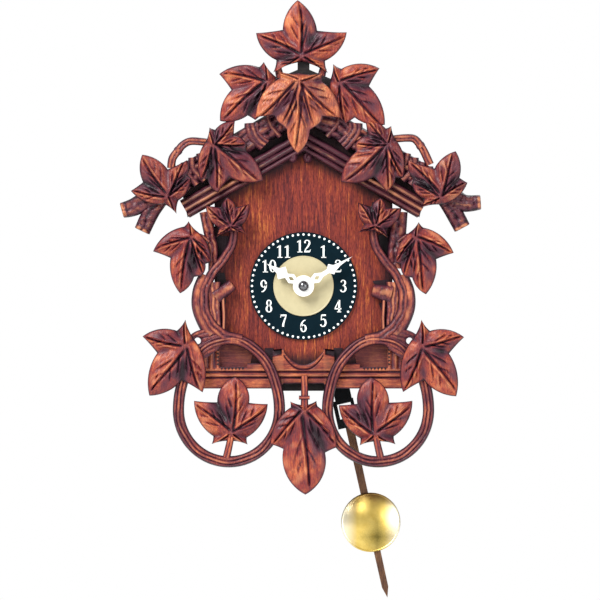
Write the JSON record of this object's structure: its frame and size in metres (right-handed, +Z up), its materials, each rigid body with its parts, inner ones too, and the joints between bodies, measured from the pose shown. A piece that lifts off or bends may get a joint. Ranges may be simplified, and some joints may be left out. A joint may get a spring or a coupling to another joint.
{
  "type": "pendulum wall clock",
  "caption": "Small wall clock with a carved vine-leaf front, gabled wooden case, round dial with two hands and a swinging pendulum below.",
  "frame": {"origin": "centre of the hanging hole, on the plane of the wall", "axes": "+Z up, +X to the clock's right as seen from the front, +Y into the wall"},
  "size_m": [0.1345, 0.049, 0.222],
  "materials": {
    "frame_wood": "satin",
    "leaf_wood": "satin",
    "box_wood": "satin",
    "dark_wood": "satin",
    "steel": "polished",
    "brass": "satin",
    "white_plastic": "gloss",
    "black_plastic": "matte",
    "dial_black": "satin",
    "gilt": "satin",
    "board_green": "matte",
    "copper": "satin",
    "battery_can": "satin"
  },
  "bodies": {
    "case": {"back_board": "box_wood", "base_rail": "frame_wood", "battery": "battery_can", "battery_contacts": "steel", "board_screws": "steel", "bottom_board": "dark_wood", "bottom_leaf": "leaf_wood", "bush_nut": "brass", "centre_bush": "brass", "circuit_board": "board_green", "crown_backing": "frame_wood", "crown_front_leaf": "leaf_wood", "crown_left_leaf": "leaf_wood", "crown_right_leaf": "leaf_wood", "crown_top_leaf": "leaf_wood", "dial_centre": "gilt", "dial_disc": "dial_black", "drive_coil": "copper", "eave_left_leaf": "leaf_wood", "eave_right_leaf": "leaf_wood", "fascia_left": "frame_wood", "fascia_right": "frame_wood", "front_board": "frame_wood", "loop_left": "frame_wood", "loop_left_leaf": "leaf_wood", "loop_right": "frame_wood", "loop_right_leaf": "leaf_wood", "lower_left_leaf": "leaf_wood", "lower_right_leaf": "leaf_wood", "motor_coil": "copper", "movement_case": "black_plastic", "movement_cover": "black_plastic", "roof_board_left": "box_wood", "roof_board_right": "box_wood", "roof_branch_left": "frame_wood", "roof_branch_right": "frame_wood", "roof_left_leaf": "leaf_wood", "roof_right_leaf": "leaf_wood", "roof_stem_left": "frame_wood", "roof_stem_right": "frame_wood", "side_left_leaf": "leaf_wood", "side_right_leaf": "leaf_wood", "side_wall_left": "box_wood", "side_wall_right": "box_wood", "small_left_leaf": "leaf_wood", "small_right_leaf": "leaf_wood", "vine_left": "frame_wood", "vine_right": "frame_wood"},
    "minute": {"minute_arbor": "brass", "minute_hand": "white_plastic", "hand_nut": "steel"},
    "hour": {"hour_wheel": "white_plastic", "hour_hand": "white_plastic"},
    "motion": {"minute_wheel": "brass"},
    "knob": {"set_knob": "black_plastic"},
    "pendulum": {"pendulum_hanger": "black_plastic", "pendulum_magnet": "steel", "pendulum_rod": "dark_wood"},
    "bob": {"bob": "brass", "bob_clip": "brass"}
  },
  "joints": [
    {"name": "minute_turn", "type": "hinge", "parent": "case", "child": "minute", "pos_m": [0, 0, -0.052], "axis": [0, 1, 0], "continuous": true},
    {"name": "hour_turn", "type": "hinge", "parent": "case", "child": "hour", "pos_m": [0, 0, -0.052], "axis": [0, 1, 0], "continuous": true},
    {"name": "motion_turn", "type": "hinge", "parent": "case", "child": "motion", "pos_m": [0.008, 0, -0.052], "axis": [0, 1, 0], "continuous": true},
    {"name": "knob_turn", "type": "hinge", "parent": "case", "child": "knob", "pos_m": [0.0188, 0, -0.052], "axis": [0, 1, 0], "continuous": true},
    {"name": "pendulum_swing", "type": "hinge", "parent": "case", "child": "pendulum", "pos_m": [0.0007, 0, -0.03], "axis": [0, 1, 0], "range_deg": [-2.5, 27.5]},
    {"name": "bob_slide", "type": "slide", "parent": "pendulum", "child": "bob", "axis": [0.2164, 0, -0.9763], "range_m": [-0.008, 0.008]}
  ],
  "couplings": [
    {"joint": "hour_turn", "follows": "minute_turn", "ratio": 0.083333},
    {"joint": "motion_turn", "follows": "minute_turn", "ratio": -0.33333},
    {"joint": "knob_turn", "follows": "minute_turn", "ratio": 0.41667}
  ]
}
